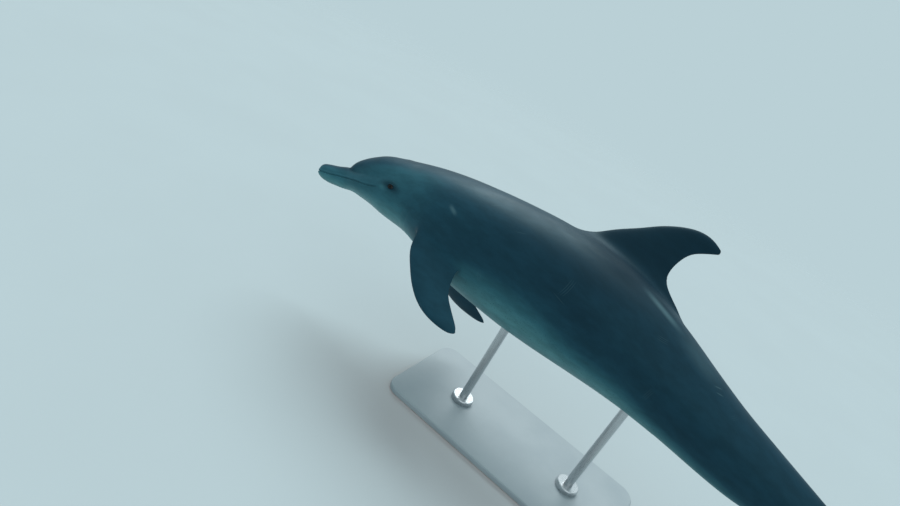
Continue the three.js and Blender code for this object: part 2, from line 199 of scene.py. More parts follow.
def through_rows(rows):
    """A smooth curve through (x, y) rows that never overshoots them."""
    xs, ys = np.array(rows, float).T
    steps = np.diff(xs)
    slopes = np.diff(ys) / steps
    before = np.append(slopes[0], slopes)
    after = np.append(slopes, slopes[-1])
    turning = before * after <= 0
    tangents = np.where(turning, 0, 2 * before * after / np.where(turning, 1, before + after))

    def curve(x):
        x = np.clip(x, xs[0], xs[-1])
        i = np.clip(np.searchsorted(xs, x, side="right") - 1, 0, len(steps) - 1)
        t = (x - xs[i]) / steps[i]
        rise = t * t * (3 - 2 * t)
        leave = t * (1 - t) ** 2 * steps[i] * tangents[i]
        arrive = t * t * (t - 1) * steps[i] * tangents[i + 1]
        return ys[i] + (ys[i + 1] - ys[i]) * rise + leave + arrive

    return curve


def blurred(values, width):
    reach = int(3 * width)
    weights = np.exp(-0.5 * (np.arange(-reach, reach + 1) / width) ** 2)
    before = 2 * values[0] - values[reach:0:-1]
    after = 2 * values[-1] - values[-2:-reach - 2:-1]
    padded = np.concatenate([before, values, after])
    return np.convolve(padded, weights / weights.sum(), mode="valid")


def evened(rows):
    """The curve through the rows with its small changes of slope evened out."""
    grid = np.arange(rows[0][0], rows[-1][0] + 1.0)
    raw = through_rows(rows)(grid)
    fine = blurred(raw, HEAD_BLUR)
    if len(grid) < 8 * BODY_BLUR:
        return lambda x: np.interp(x, grid, fine)
    values = fine + (blurred(raw, BODY_BLUR) - fine) * smooth_step(*BLUR_CHANGE, grid)
    return lambda x: np.interp(x, grid, values)


back, belly, flank, widest = evened(BACK), evened(BELLY), evened(FLANK), evened(WIDEST)
jaw_top, fullness = evened(JAW_TOP), evened(FULLNESS)
melon_flank, melon_middle = through_rows(MELON_FLANK), through_rows(MELON_MIDDLE)
mouth_line = evened(MOUTH_LINE)


def outline(points):
    """A plane curve through the points, as share of its length => [u, v] rows."""
    p = np.array(points, float)
    p = np.vstack([2 * p[0] - p[1], p, 2 * p[-1] - p[-2]])
    t = np.linspace(0, 1, 40, endpoint=False)[:, None]
    samples = []
    for a, b, c, d in zip(p, p[1:], p[2:], p[3:]):
        ab, bc, cd = (math.sqrt(np.linalg.norm(q - r)) for q, r in ((b, a), (c, b), (d, c)))
        leave = bc * ((b - a) / ab - (c - a) / (ab + bc) + (c - b) / bc)
        arrive = bc * ((c - b) / bc - (d - b) / (bc + cd) + (d - c) / cd)
        samples.append(
            b + leave * t + (3 * (c - b) - 2 * leave - arrive) * t**2
            + (2 * (b - c) + leave + arrive) * t**3)
    samples = np.vstack(samples + [p[-2:-1]])
    length = length_shares(samples)
    return lambda share: interp_rows(share, length, samples)


# ---- The bent spine ----

SPINE_STEP = 4.0
spine_grid = np.arange(-80, LENGTH + 81, SPINE_STEP)


def spine_axes(station):
    """Unit vectors tailward, left and dorsal at each station."""
    rise = np.zeros_like(station, float)
    right = np.zeros_like(station, float)
    for start, end, lifts, turns in BENDS:
        u = np.clip((np.append(station, ANCHOR) - start) / (end - start), 0, 1)
        share = u - np.sin(2 * np.pi * u) / (2 * np.pi)
        rise += math.radians(lifts) * (share[:-1] - share[-1])
        right += math.radians(turns) * (share[:-1] - share[-1])
    tailward = np.stack(
        [-np.cos(rise) * np.cos(right), -np.cos(rise) * np.sin(right), np.sin(rise)], -1)
    left = np.stack([-np.sin(right), np.cos(right), np.zeros_like(right)], -1)
    return tailward, left, np.cross(left, tailward)


spine_steps = spine_axes(spine_grid[:-1] + SPINE_STEP / 2)[0] * SPINE_STEP
spine_points = np.vstack([np.zeros(3), np.cumsum(spine_steps, axis=0)])
spine_points -= interp_rows(ANCHOR, spine_grid, spine_points)


def in_place(rows):
    """Places in the frame, in metres, of rows [station, to the left, height]."""
    station, to_left, height = rows.T
    _, left, dorsal = spine_axes(station)
    point = interp_rows(station, spine_grid, spine_points)
    point = point + left * to_left[:, None] + dorsal * height[:, None]
    turn = (Matrix.Rotation(-math.radians(NOSE_UP), 3, "Y")
            @ Matrix.Rotation(math.radians(BANK), 3, "X"))
    return (point @ np.array(turn).T + [BASE_STATION - ANCHOR, 0, SWIM_HEIGHT]) * MM


# ---- Sections of the body ----

RADIUS_RANGE, HALVINGS = (1.0, 400.0), 26
MELON_FADE = 370  # from here to MELON_END the head's section turns into the trunk's


def from_section(across, height, half_width, top, middle, bottom, power):
    """Signed distance from a rounded section, measured from its middle."""
    up = height - middle
    reach = np.where(up > 0, top - middle, middle - bottom)
    level = (np.abs(across / half_width) ** power + np.abs(up / reach) ** power) ** (1 / power)
    return np.hypot(across, up) * (1 - 1 / np.maximum(level, 1e-6))


def from_trunk(station, across, height, top=back):
    return from_section(across, height, flank(station), top(station), widest(station),
                        belly(station), fullness(station))


def from_melon(station, across, height):
    half, middle = melon_flank(station), melon_middle(station)
    bottom = middle - MELON_DEPTH * half
    return from_section(across, height, half, back(station), middle, bottom, 2)


def from_head(station, across, height):
    jaws = from_trunk(station, across, height, jaw_top)
    melon = np.where(station > MELON_START, from_melon(station, across, height), 1e3)
    return -soft_max(-jaws, -melon, CREASE_SOFTNESS)


def radius_where(distance, station, angle):
    """Where a distance function crosses zero on the way out, found by halving."""
    low, high = (np.full(np.shape(angle), radius) for radius in RADIUS_RANGE)
    for _ in range(HALVINGS):
        middle = (low + high) / 2
        height = widest(station) + middle * np.cos(angle)
        outside = distance(station, middle * np.sin(angle), height) > 0
        high = np.where(outside, middle, high)
        low = np.where(outside, low, middle)
    return (low + high) / 2


def skin_radius(station, angle):
    """Distance from the section's middle to the skin, at an angle from the back."""
    station, angle = np.broadcast_arrays(np.asarray(station, float), angle)
    trunk = radius_where(from_trunk, station, angle)
    head = radius_where(from_head, station, angle)
    radius = head + (trunk - head) * smooth_step(MELON_FADE, MELON_END, station)
    return radius * np.sqrt(1 - np.clip(1 - station / TIP_ROUNDING, 0, 1) ** 2)


def on_skin(station, angle, lift=0.0):
    """Rows on the body, or lifted off it, at an angle from the back toward the left."""
    station, angle = np.broadcast_arrays(np.asarray(station, float), angle)
    radius = skin_radius(station, angle) + lift
    return np.stack(
        [station, radius * np.sin(angle), widest(station) + radius * np.cos(angle)], -1)


def angle_of(rows):
    return np.arctan2(rows[..., 1], rows[..., 2] - widest(rows[..., 0]))


def outside_by(rows):
    """How far outside the body each row is, along the radius."""
    radius = np.hypot(rows[..., 1], rows[..., 2] - widest(rows[..., 0]))
    return radius - skin_radius(rows[..., 0], angle_of(rows))


def skin_normal(rows):
    """Outward direction at rows that lie on the body."""
    steps = np.eye(3)
    return unit(np.stack([outside_by(rows + step) - outside_by(rows - step) for step in steps], -1))


# ---- The cage ----

HALF = 44  # columns run from the belly up the left side to the back, then down the right
COLUMNS = 2 * HALF
MOUTH_COLUMN = HALF // 2
COLUMN_GROWTH = 1.12  # each column on the head is this much wider than the last
EVEN_COLUMNS = (400, 640)  # stations between which the columns become evenly spaced
RING_SPACING = [
    (0, 3.6), (100, 4.8), (116, 3.0), (150, 3.2), (200, 5.3), (400, 5.6), (540, 14),
    (700, 25), (2050, 25), (FLUKE_START, 14),
]
FLUKE_RINGS = 25
FLUKE_STEPS = 240  # points from the middle to the edge, from which each ring is drawn
EYELID_STATIONS = (EYE_STATION - 38, EYE_STATION + 34)
# The stations and columns that give way to each thing set into the grid.
OPENINGS = {
    "eye_left": (EYELID_STATIONS, (MOUTH_COLUMN - 8, MOUTH_COLUMN + 10)),
    "eye_right": (EYELID_STATIONS, (COLUMNS - MOUTH_COLUMN - 10, COLUMNS - MOUTH_COLUMN + 8)),
    "blowhole": ((BLOWHOLE_STATION - 36, BLOWHOLE_STATION + 36), (HALF - 3, HALF + 3)),
    "dorsal_fin": ((945, 1570), (HALF - 5, HALF + 5)),
    "flipper_left": ((490, 855), (6, 20)),
    "flipper_right": ((480, 855), (COLUMNS - 20, COLUMNS - 5)),
}
EASING = (0.5, 1.0)  # where the rings between an opening's border and its contents lie


class Cage:
    """Points and faces of the coarse mesh, with how much each point belongs to a fin."""

    def __init__(self):
        self.points = []
        self.fin = []
        self.faces = []

    def add(self, rows, fin=0.0):
        start = len(self.points)
        self.points.extend(np.asarray(rows, float))
        self.fin.extend([fin] * len(rows))
        return list(range(start, start + len(rows)))

    def rows_of(self, loop):
        return np.array([self.points[i] for i in loop])

    def grow(self, loop, rows, fin=0.0):
        """Adds a ring of points, joins it to the loop before it and returns it."""
        ring = self.add(rows, fin)
        self.faces.extend(zip(loop, loop[1:] + loop[:1], ring[1:] + ring[:1], ring))
        return ring

    def fill(self, grid, left_out=()):
        """Quads between the rows of a grid of points, but for the cells left out."""
        for i, (row, after) in enumerate(zip(grid, grid[1:])):
            for j in range(len(row) - 1):
                if (i, j) not in left_out:
                    self.faces.append((row[j], after[j], after[j + 1], row[j + 1]))

    def cap(self, loop, opening, fin=0.0):
        """Closes a loop that grew from an opening, with as many cells as it left out."""
        rows, columns = opening.rows, opening.columns
        low, high = loop[:rows + 1], loop[rows + columns:2 * rows + columns + 1][::-1]
        end = loop[rows:rows + columns + 1]
        start = (loop[2 * rows + columns:] + loop[:1])[::-1]
        at = dict(zip(loop, self.rows_of(loop)))

        def point(i, j):
            if j in (0, columns):
                return (low if j == 0 else high)[i]
            if i in (0, rows):
                return (start if i == 0 else end)[j]
            u, v = i / rows, j / columns
            sides = (1 - v) * at[low[i]] + v * at[high[i]]
            ends = (1 - u) * at[start[j]] + u * at[end[j]]
            corners = ((1 - u) * ((1 - v) * at[low[0]] + v * at[high[0]])
                       + u * ((1 - v) * at[low[-1]] + v * at[high[-1]]))
            return self.add([sides + ends - corners], fin)[0]

        self.fill([[point(i, j) for j in range(columns + 1)] for i in range(rows + 1)])


def ring_stations():
    spacing = through_rows(RING_SPACING)
    swing = np.linspace(0, np.pi / 2, 8)[1:-1]
    stations = list(TIP_ROUNDING * (1 - np.cos(swing)))
    station = float(TIP_ROUNDING)
    while station < FLUKE_START - 0.6 * spacing(FLUKE_START):
        stations.append(station)
        station += float(spacing(station))
    return np.array(stations + [FLUKE_START])


def column_angles(stations):
    """Angle from the back toward the left of every column on every ring."""
    mouth = np.full(len(stations), np.pi / 2)
    for _ in range(4):
        cosine = (mouth_line(stations) - widest(stations)) / np.maximum(
            skin_radius(stations, mouth), 1)
        mouth = np.arccos(np.clip(cosine, -0.5, 0.5))
    mouth = np.pi - mouth  # measured up from the belly
    steps = np.arange(HALF // 2 + 1)
    growth = (COLUMN_GROWTH**steps - 1) / (COLUMN_GROWTH**steps[-1] - 1)
    lower = mouth[:, None] * (1 - growth[::-1])
    upper = mouth[:, None] + (np.pi - mouth[:, None]) * growth
    head = np.hstack([lower, upper[:, 1:]])
    even = np.linspace(0, np.pi, HALF + 1)[None, :]
    share = smooth_step(*EVEN_COLUMNS, stations)[:, None]
    left = np.pi - (head * (1 - share) + even * share)
    return np.hstack([left, -left[:, -2:0:-1]])


def body_grid(cage):
    stations = ring_stations()
    angles = column_angles(stations)
    loops = [cage.add(ring) for ring in on_skin(stations[:, None], angles)]
    tip = cage.add([[0, 0, mouth_line(0)]])[0]
    for k in range(COLUMNS):
        cage.faces.append((tip, loops[0][k], loops[0][(k + 1) % COLUMNS]))
    return stations, angles, loops


class Opening:
    """A block of the grid that is left out, for something set into it."""

    def __init__(self, grid, stations, columns):
        all_stations, angles, loops = grid
        i0, i1 = (int(np.argmin(np.abs(all_stations - s))) for s in stations)
        j0, j1 = columns
        self.rows, self.columns = i1 - i0, j1 - j0
        border = ([(i, j0) for i in range(i0, i1)] + [(i1, j) for j in range(j0, j1)]
                  + [(i, j1) for i in range(i1, i0, -1)] + [(i0, j) for j in range(j1, j0, -1)])
        self.loop = [loops[i][j] for i, j in border]
        self.station = np.array([all_stations[i] for i, _ in border])
        self.angle = np.array([angles[i][j] for i, j in border])
        self.cells = {(i, j) for i in range(i0, i1) for j in range(j0, j1)}
        # Phase round the loop, 0 at the middle of its front side.
        self.phase = 2 * np.pi * (np.arange(len(border)) + self.columns / 2) / len(border)


def ease_to(cage, opening, target):
    """Rings on the body between an opening's border and rows that lie on the body."""
    loop = opening.loop
    target_angle = angle_of(target)
    for share in EASING:
        station = opening.station + (target[:, 0] - opening.station) * share
        angle = opening.angle + (target_angle - opening.angle) * share
        loop = cage.grow(loop, on_skin(station, angle))
    return loop


# ---- Fins ----

ROOT_SPANS = np.linspace(0, 0.6, 241)  # where on a fin its root is looked for
FILLET_SHARES = (0.2, 0.4, 0.6, 0.8)  # how far up its rounded foot each ring lies
FIN_RINGS = 14
CLOSING_RINGS = [(0.82, 1.6), (0.45, 2.8)]  # size beside the ring before, how far out


def aerofoil(chord):
    """Half thickness of a fin's section as a share of its greatest, along the chord."""
    shape = (2.969 * np.sqrt(chord) - 1.26 * chord - 3.516 * chord**2 + 2.843 * chord**3
             - 1.015 * chord**4)
    return np.maximum(shape, 0)


def fin_surface(fin, phase, first_side, place):
    """The fin's skin as a function of span, one row for each phase round its section."""
    leading, trailing = outline(fin["leading"]), outline(fin["trailing"])
    thick = through_rows(fin["thickness"])
    chord = (1 - np.cos(phase)) / 2
    side = first_side * np.where(np.abs(np.sin(phase)) < 1e-6, 0, np.sign(np.sin(phase)))

    def surface(span, slim=1.0):
        front, rear = leading(span), trailing(span)
        plan = front + (rear - front) * chord[:, None]
        half = np.maximum(thick(span) / 2 * aerofoil(chord) * slim, THINNEST_EDGE)
        return place(plan[:, 0], plan[:, 1], side * half)

    return surface


def root_of(surface, count):
    """How far along its span the fin leaves the body, for each point round it."""
    depth = np.stack([outside_by(surface(np.full(count, span))) for span in ROOT_SPANS])
    last_inside = np.array([np.nonzero(column < 0)[0].max() for column in depth.T])
    below, above = (depth[last_inside + step, np.arange(count)] for step in (0, 1))
    return ROOT_SPANS[last_inside] + ROOT_SPANS[1] * below / (below - above)


def grow_fin(cage, opening, fin, first_side, place):
    """Sets a fin into an opening, with a rounded foot."""
    phase = opening.phase
    count = len(phase)
    surface = fin_surface(fin, phase, first_side, place)
    root = root_of(surface, count)
    meet = surface(root)
    along = np.roll(meet, -1, 0) - np.roll(meet, 1, 0)
    away = unit(np.cross(along, skin_normal(meet)))
    away *= np.sign(np.sum(away * (meet - meet.mean(0)), -1).sum())
    beside, before, behind, up = fin["fillet"]
    in_front, at_rear = ((1 + sign * np.cos(phase)) / 2 for sign in (1, -1))
    reach = beside + (before - beside) * in_front**3 + (behind - beside) * at_rear**3
    foot = meet + away * reach[:, None]
    foot = on_skin(foot[:, 0], angle_of(foot))
    speed = np.linalg.norm(surface(root + 0.02) - meet, axis=1) / 0.02
    lifted = root + up * (1 + 0.6 * (reach / beside - 1)) / speed
    top = surface(lifted)
    loop = ease_to(cage, opening, foot)
    for u in FILLET_SHARES:
        loop = cage.grow(loop, (1 - u) ** 2 * foot + 2 * u * (1 - u) * meet + u * u * top, u)
    for share in 1 - (1 - np.linspace(0, 1, FIN_RINGS)) ** 1.25:
        slim = math.sqrt(max(1 - max(share - 0.9, 0) ** 2 / 0.011, 0.08))
        loop = cage.grow(loop, surface(lifted + (1 - lifted) * share, slim), 1.0)
    middle = cage.rows_of(loop).mean(0)
    near_tip, tip = (surface(np.full(count, span)).mean(0) for span in (0.97, 1.0))
    outward = unit(tip - near_tip)
    for size, out in CLOSING_RINGS:
        ring = middle + (cage.rows_of(loop) - middle) * size + outward * out
        loop = cage.grow(loop, ring, 1.0)
    cage.cap(loop, opening, 1.0)


def dorsal_place(station, height, off):
    return np.stack([station, off, height], -1)


def flipper_place(side, splay, sweep, pitch):
    """From tailward, along the flipper and off its plane, to rows beside the body."""

    def place(tailward, along, off):
        rearward, down = turned(tailward, along, sweep)
        rearward, lift = turned(rearward, off, pitch)
        out, drop = turned(lift, down, -splay)
        station = FLIPPER_ROOT["station"] + rearward
        return np.stack([station, side * (FLIPPER_ROOT["out"] + out),
                         FLIPPER_ROOT["height"] - drop], -1)

    return place


def fluke_rings(cage, last_ring):
    """Rings that fan out from the tail stock to the trailing edge of the flukes."""
    edge = outline(FLUKE_EDGE)
    fine = np.linspace(0, 1, 400)
    edge_rows, trailing_rows = edge(fine), outline(FLUKE_TRAILING)(fine)
    thick = through_rows(FLUKE_THICKNESS)
    w = np.sin(np.linspace(0, np.pi / 2, FLUKE_STEPS))
    sides = {1: range(MOUTH_COLUMN, HALF + 1), -1: range(MOUTH_COLUMN, -1, -1)}

    def station_on(rows, out):
        return np.interp(out, rows[:, 1], rows[:, 0])

    def half_height(station, out, reach):
        lead, trail = station_on(edge_rows, out), station_on(trailing_rows, out)
        chord = np.clip((station - lead) / (trail - lead), 0, 1)
        blade = thick(out / FLUKE_SPAN) / 2 * aerofoil(chord)
        spread = smooth_step(FLUKE_START, STOCK_END, station)
        power = fullness(station) * (1 - spread) + 2 * spread
        rounding = (1 - spread) / power + 1.7 * spread
        x = np.clip(out / (flank(station) * (1 + 1.2 * spread)), 0, 1)
        stock = reach * (1 - x**power) ** rounding
        soft = soft_max(stock, blade, 16 * smooth_step(0, 0.25, spread) + 0.01)
        return soft * np.sqrt(np.clip((1 - w) * 14, 0, 1)) if spread.max() > 0 else soft

    body_shares = {sign: 1 - length_shares(cage.rows_of([last_ring[j] for j in columns]))
                   for sign, columns in sides.items()}
    loops = []
    for u in np.linspace(0, 1, FLUKE_RINGS + 1)[1:]:
        edge_station, edge_out = edge(u)
        centre = FLUKE_START + (NOTCH - FLUKE_START) * u
        out = w * edge_out
        correction = (station_on(trailing_rows, w * FLUKE_SPAN)
                      - (NOTCH + (FLUKE_TIP - NOTCH) * w**2))
        station = centre + (edge_station - centre) * w**2 + u**3 * correction
        middle = widest(station)
        ring = [None] * COLUMNS
        for sign, columns in sides.items():
            reach = back(station) - middle if sign > 0 else middle - belly(station)
            thinnest = THINNEST_EDGE * np.sqrt(np.clip((1 - w) * 40, 0, 1))
            off = np.maximum(half_height(station, out, reach), thinnest)
            length = length_shares(np.stack([out, off], -1))
            even = np.linspace(1, 0, len(columns))
            share = body_shares[sign] + (even - body_shares[sign]) * smooth_step(0, 0.45, u)
            line = np.stack([station, out, middle + sign * off], -1)
            for column, (x, y, z) in zip(columns, interp_rows(share, length, line)):
                ring[column], ring[-column % COLUMNS] = [x, y, z], [x, -y, z]
        for column in (0, HALF):
            ring[column][1] = 0.0
        loops.append(cage.add(ring, float(smooth_step(0.15, 0.6, u))))
    return loops


def close_trailing_edge(cage, ring):
    """Joins the upper half of the last ring to the lower half."""
    upper = [ring[(MOUTH_COLUMN + k) % COLUMNS] for k in range(HALF + 1)]
    lower = [ring[(MOUTH_COLUMN - k) % COLUMNS] for k in range(HALF + 1)]
    for corners in zip(upper, upper[1:], lower[1:], lower):
        cage.faces.append(tuple(dict.fromkeys(corners)))  # a triangle at each end


# ---- Eyes and blowhole ----

LID_RINGS = [
    # half length of the ring, lift off the body
    (31, 0.0), (28.6, 0.0), (26.4, 0.1), (24.4, 0.2), (22.6, 0.3), (21, 0.4), (19.5, 0.5),
    (18.1, 0.7), (16.8, 1.0), (15.7, 1.3),
]
EYE_LONGER = 5  # how much longer than high half of a ring or the opening is
EYE_OPENING = 13.4  # half length
LID_MARGIN = [(1.09, 18.9), (1.0, 18.3), (0.955, 17.35)]  # share of it, reach from the middle
CUP_SHARES = (0.25, 0.5, 0.75, 0.93)  # how far round behind the eyeball each ring lies
CUP_RADIUS = EYE_RADIUS + 0.9
EYE_TO_LIDS = 12
EYE_REACH = 120  # roughly, from the middle of the section to the eye
BLOWHOLE_RINGS = [
    # half width, half thickness, sag of the crescent, lift off the body
    (30, 21, 2, 0.0), (23, 11, 6, 0.5), (19.5, 6.5, 8, 1.0), (16.5, 3.2, 8.5, 0.9),
    (15.2, 1.5, 8.5, -0.8), (14.0, 0.9, 8.5, -4), (12, 0.8, 8, -9),
]
BLOWHOLE_REACH = 113.0


def eye_frame(side):
    """The middle of the eyeball, and its axes tailward, upward and outward as rows."""
    angle = math.acos((EYE_HEIGHT - float(widest(EYE_STATION))) / EYE_REACH)
    out = float(skin_radius(EYE_STATION, angle)) * math.sin(angle) - EYE_RADIUS + EYE_PROUD
    outward = skin_normal(on_skin(EYE_STATION, side * angle)[None])[0]
    level = unit(np.cross([0, 0, 1.0], outward))
    level = level if level[0] > 0 else -level
    raised = unit(np.array([0, 0, 1.0]) - outward * outward[2])
    tailward, upward = turned(level, raised, EYE_TILT)
    return np.array([EYE_STATION, side * out, EYE_HEIGHT]), np.array([tailward, upward, outward])


def grow_eyelids(cage, opening, side):
    """Lids that close round the eyeball, and a cup behind it."""
    centre, axes = eye_frame(side)
    x = -np.cos(opening.phase)
    y = -side * np.sin(opening.phase)  # the loop starts downward on the left, up on the right

    def from_eye(along, up, out):
        return centre + np.stack(np.broadcast_arrays(along, up, out), -1) @ axes

    def lid_ring(length, lift):
        rows = from_eye(x * length, y * (length - EYE_LONGER), EYE_TO_LIDS)
        return on_skin(rows[:, 0], angle_of(rows), lift)

    loop = ease_to(cage, opening, lid_ring(*LID_RINGS[0]))
    for ring in LID_RINGS[1:]:
        loop = cage.grow(loop, lid_ring(*ring))
    for share, reach in LID_MARGIN:
        along, up = x * EYE_OPENING * share, y * (EYE_OPENING - EYE_LONGER) * share
        loop = cage.grow(loop, from_eye(along, up, np.sqrt(reach**2 - along**2 - up**2)))
    margin = unit(cage.rows_of(loop) - centre)
    for share in CUP_SHARES:
        behind = unit(margin * (1 - share) - axes[2] * share * 1.4)
        loop = cage.grow(loop, centre + behind * CUP_RADIUS)
    cage.cap(loop, opening)


def grow_blowhole(cage, opening):
    """A crescent with its horns forward, soft lips and a short blind pit."""
    across = np.sin(opening.phase)

    def crescent(width, thick, sag, lift):
        along = sag * (0.6 - across**2) - thick * np.cos(opening.phase)
        return on_skin(BLOWHOLE_STATION + along, width * across / BLOWHOLE_REACH, lift)

    loop = ease_to(cage, opening, crescent(*BLOWHOLE_RINGS[0]))
    for ring in BLOWHOLE_RINGS[1:]:
        loop = cage.grow(loop, crescent(*ring))
    cage.cap(loop, opening)


# ---- The skin ----


def build_cage():
    cage = Cage()
    grid = body_grid(cage)
    loops = grid[-1]
    flukes = fluke_rings(cage, loops[-1])
    openings = {name: Opening(grid, *block) for name, block in OPENINGS.items()}
    left_out = set().union(*(opening.cells for opening in openings.values()))
    cage.fill([ring + ring[:1] for ring in loops + flukes], left_out)
    close_trailing_edge(cage, flukes[-1])
    grow_eyelids(cage, openings["eye_left"], 1)
    grow_eyelids(cage, openings["eye_right"], -1)
    grow_blowhole(cage, openings["blowhole"])
    grow_fin(cage, openings["dorsal_fin"], DORSAL_FIN, 1, dorsal_place)
    for name, turns in FLIPPER_TURNS.items():
        grow_fin(cage, openings["flipper_" + name], FLIPPER, -turns[0], flipper_place(*turns))
    return cage


def link(name, data):
    thing = bpy.data.objects.new(name, data)
    bpy.context.scene.collection.objects.link(thing)
    return thing


def face_outward(mesh):
    work = bmesh.new()
    work.from_mesh(mesh)
    bmesh.ops.recalc_face_normals(work, faces=work.faces)
    work.to_mesh(mesh)
    work.free()


def read(items, field, width):
    values = np.zeros(len(items) * width, np.float32)
    items.foreach_get(field, values)
    return values.reshape(-1, width).astype(float)


def store(mesh, name, values):
    """Keeps numbers, or rows of three, on the points of a mesh."""
    values = np.asarray(values, np.float32)
    kind, field = ("FLOAT", "value") if values.ndim == 1 else ("FLOAT_VECTOR", "vector")
    mesh.attributes.new(name, kind, "POINT").data.foreach_set(field, values.ravel())


def subdivided(cage):
    """The cage as a mesh, subdivided once."""
    used = sorted({i for face in cage.faces for i in face})
    number = {old: new for new, old in enumerate(used)}
    faces = [tuple(number[i] for i in face) for face in cage.faces]
    mesh = bpy.data.meshes.new("cage")
    mesh.from_pydata([tuple(cage.points[i]) for i in used], [], faces)
    store(mesh, "fin", [cage.fin[i] for i in used])
    face_outward(mesh)
    holder = link("cage", mesh)
    level = holder.modifiers.new("fine", "SUBSURF")
    level.levels = level.render_levels = 1
    level.boundary_smooth = "ALL"
    evaluated = holder.evaluated_get(bpy.context.evaluated_depsgraph_get())
    fine = bpy.data.meshes.new_from_object(evaluated)
    bpy.data.objects.remove(holder)
    bpy.data.meshes.remove(mesh)
    return fine


FACE_HALF = 60  # rows farther across than this are on the sides of the head
FOLD_TILT = EYE_TILT + 6  # the folds and the dark patch round the eye tilt more than it
EYE_FOLDS = [
    # half length, half height (negative below the eye), depth, half width
    (19.6, 13.4, 1.5, 1.15), (22.5, 18.2, 1.2, 1.4), (26.5, 24.0, 0.6, 1.7),
    (20.5, -13.6, 0.9, 1.2), (24.0, -18.4, 0.8, 1.5),
]
CROWS_FEET = [(-30, 0.8), (-6, 1.0), (17, 0.8)]  # direction in degrees, depth
NECK_FOLDS = [(452, 0.25), (486, 0.32), (522, 0.4)]  # station at the belly side, lean
EAR_STATION, EAR_HEIGHT = 398, -40
NAVEL_STATION = 1110
SLIT_START, SLIT_END = (1540, 1560), (1650, 1668)
MAMMARY_STATION, MAMMARY_ACROSS = 1612, 24


def from_eye_middle(station, height):
    """Distances tailward and upward from the middle of the eye, along FOLD_TILT."""
    return turned(station - EYE_STATION, height - EYE_HEIGHT, FOLD_TILT)


def eye_folds(station, across, height):
    u, v = from_eye_middle(station, height)
    outside = np.hypot(u / 15, v / 10)
    push = 2.8 * np.exp(-((np.hypot(u / 44, v / 36)) ** 2)) * smooth_step(1, 2.2, outside)
    for length, tall, depth, width in EYE_FOLDS:
        off = (np.hypot(u / length, v / tall) - 1) * abs(tall)
        arc = smooth_step(-0.15, 0.55, v / tall)
        push -= depth * arc * (hump(off, 0, width) - 0.45 * hump(off, -2 * width, 1.3 * width))
    for direction, depth in CROWS_FEET:
        along, off = turned(u, v, -direction)
        off = off + 0.012 * (along - 20) ** 2 * np.sign(direction)
        push -= depth * hump(off, 0, 1.5) * plateau(along, (17, 22), (26, 34))
    return push * (np.abs(across) > FACE_HALF) * (station > 280) * (station < 440)


def creases(rows, fin):
    """How far each point is pushed out along its normal: mouth, folds and slits."""
    station, across, height = rows.T
    on_side = np.abs(across) > FACE_HALF
    from_corner = station - GAPE
    off_line = height - mouth_line(station)
    push = -2.9 * hump(off_line, 0, 1.5) * (1 - smooth_step(-6, 9, from_corner))
    lips = 0.9 * hump(off_line, 5.5, 3.2) + 0.7 * hump(off_line, -5.0, 3.2)
    push += lips * (1 - smooth_step(-30, 25, from_corner))
    # A short fold behind the corner of the mouth.
    fold = height - mouth_line(GAPE) + 0.45 * from_corner
    push -= 0.9 * hump(fold, 0, 2.4) * hump(from_corner, 10, 11) * on_side
    # The crease between beak and melon, where their surfaces meet.
    from_beak = from_trunk(station, across, height, jaw_top)
    apart = from_beak - from_melon(station, across, height)
    where = plateau(station, (MELON_START - 1, MELON_START + 3), (170, 250)) * (height > -50)
    push -= 1.5 * hump(apart, 0, 4) * where
    push += eye_folds(station, across, height)
    # Faint folds where the neck bends.
    low_neck = (1 - smooth_step(-60, 10, height)) * (1 - fin)
    for at, lean in NECK_FOLDS:
        push -= 0.6 * hump(station - at - lean * (height + 60), 0, 5.5) * low_neck
    # Ear, navel and slits.
    from_ear = np.hypot(station - EAR_STATION, height - EAR_HEIGHT)
    push -= 1.6 * hump(from_ear, 0, 2.6) * on_side
    on_belly = (height < -60) * (1 - fin)
    push -= 3.0 * on_belly * hump(station, NAVEL_STATION, 14) * hump(across, 0, 5)
    lips = 1.4 * hump(np.abs(across), 9, 6) - 4.0 * hump(across, 0, 4)
    push += on_belly * plateau(station, SLIT_START, SLIT_END) * lips
    beside = hump(np.abs(across), MAMMARY_ACROSS, 3.5)
    return push - 1.6 * on_belly * beside * hump(station, MAMMARY_STATION, 20)


# Angle from the back, in degrees, where the pale underside begins at each station.
PALE_EDGE = [
    (0, 88), (180, 92), (300, 97), (413, 105), (510, 131), (580, 142), (660, 134), (820, 112),
    (980, 107), (1140, 109), (1300, 117), (1460, 120), (1620, 134), (1780, 144), (1940, 152),
    (2150, 168),
]
PALE_REACH = [(0, 70), (413, 62), (700, 58), (2150, 50)]  # degrees from there to the palest
pale_edge, pale_reach = evened(PALE_EDGE), evened(PALE_REACH)


